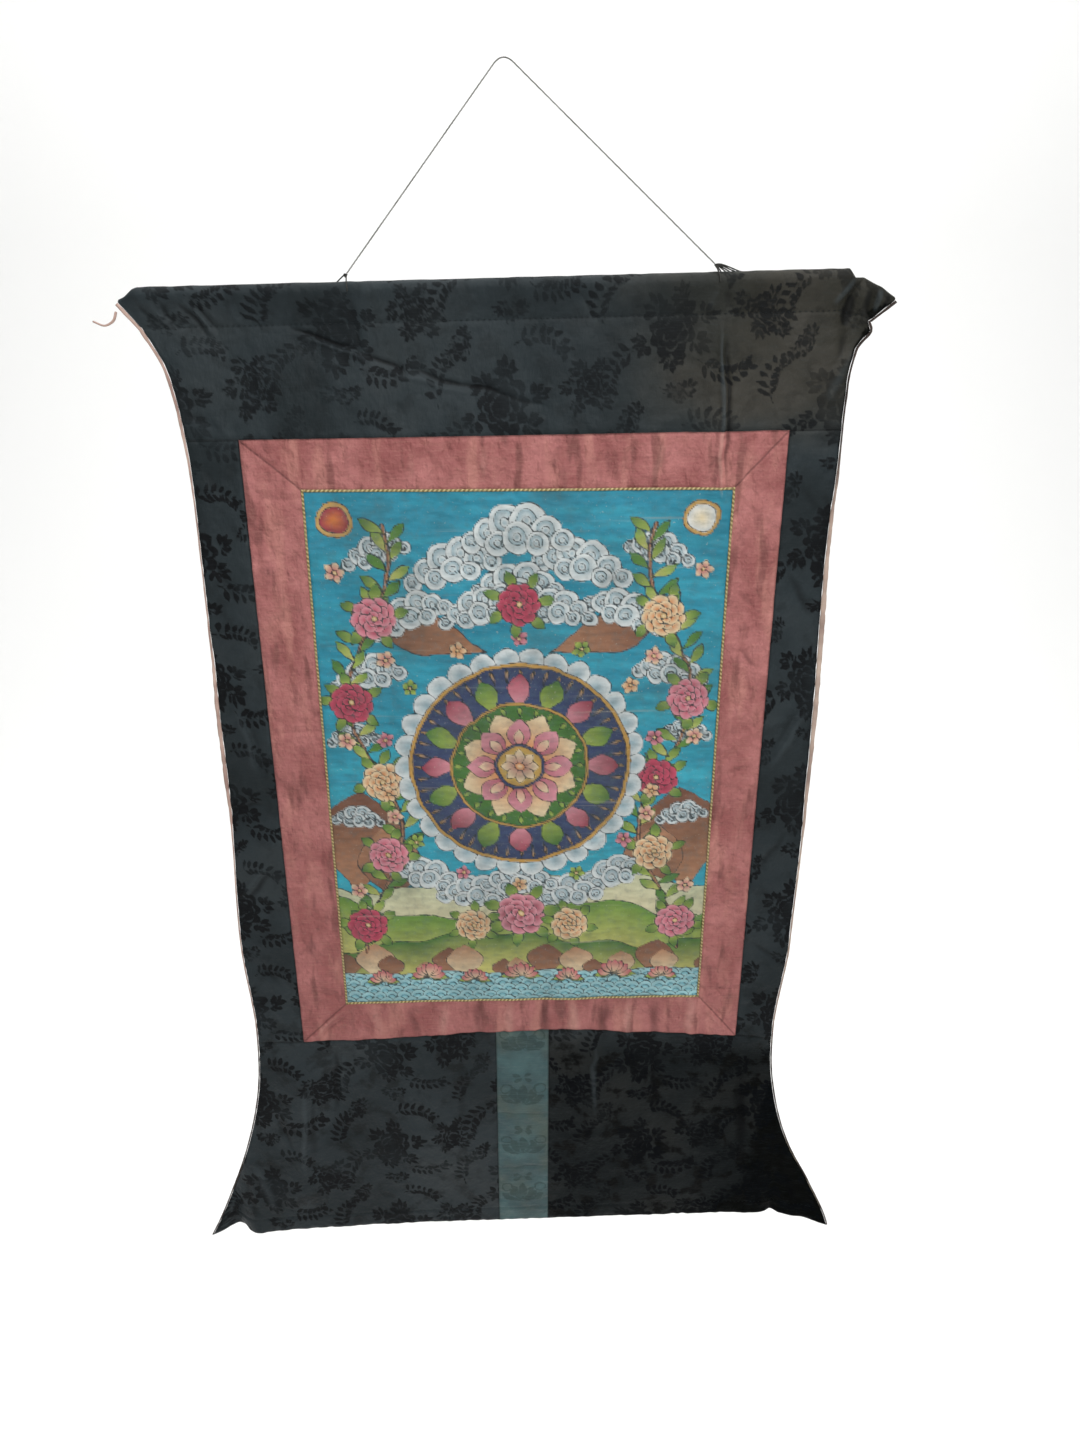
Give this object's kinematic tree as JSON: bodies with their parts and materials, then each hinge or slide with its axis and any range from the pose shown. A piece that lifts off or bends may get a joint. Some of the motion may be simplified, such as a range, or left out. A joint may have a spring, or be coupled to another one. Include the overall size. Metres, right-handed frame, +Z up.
{
  "type": "thangka scroll painting with hanging rod",
  "caption": "Painted cloth in a bordered silk mount that widens at the hem, hung by a string from a rod in its top sleeve.",
  "frame": {"origin": "hanging point, on the inside of the string's bend", "axes": "+Z up, +X to the right along the rod seen from the front, the picture faces -Y"},
  "size_m": [0.7699, 0.0277, 1.2775],
  "materials": {
    "dark_silk": "tone-on-tone damask silk, soft sheen",
    "door_silk": "grey-green figured silk",
    "salmon_silk": "fine plain-weave silk, lightly wrinkled",
    "painted_cloth": "matt paint on fine cotton",
    "piping_cloth": "rolled silk piping",
    "lining_cloth": "plain cotton",
    "binding_cloth": "narrow folded binding",
    "string_fibre": "twisted string",
    "rod_wood": "plain turned stick"
  },
  "bodies": {
    "root": {"top_panel": "dark_silk", "side_panel_left": "dark_silk", "side_panel_right": "dark_silk", "bottom_panel_left": "dark_silk", "bottom_panel_right": "dark_silk", "door_panel": "door_silk", "border_top": "salmon_silk", "border_bottom": "salmon_silk", "border_left": "salmon_silk", "border_right": "salmon_silk", "picture_panel": "painted_cloth", "piping_top": "piping_cloth", "piping_bottom": "piping_cloth", "piping_left": "piping_cloth", "piping_right": "piping_cloth", "lining": "lining_cloth", "edge_binding_left": "binding_cloth", "edge_binding_right": "binding_cloth", "binding_tail": "binding_cloth", "top_rod": "rod_wood", "string_tie_left": "string_fibre", "string_tie_right": "string_fibre", "hanging_string": "string_fibre"}
  },
  "joints": []
}
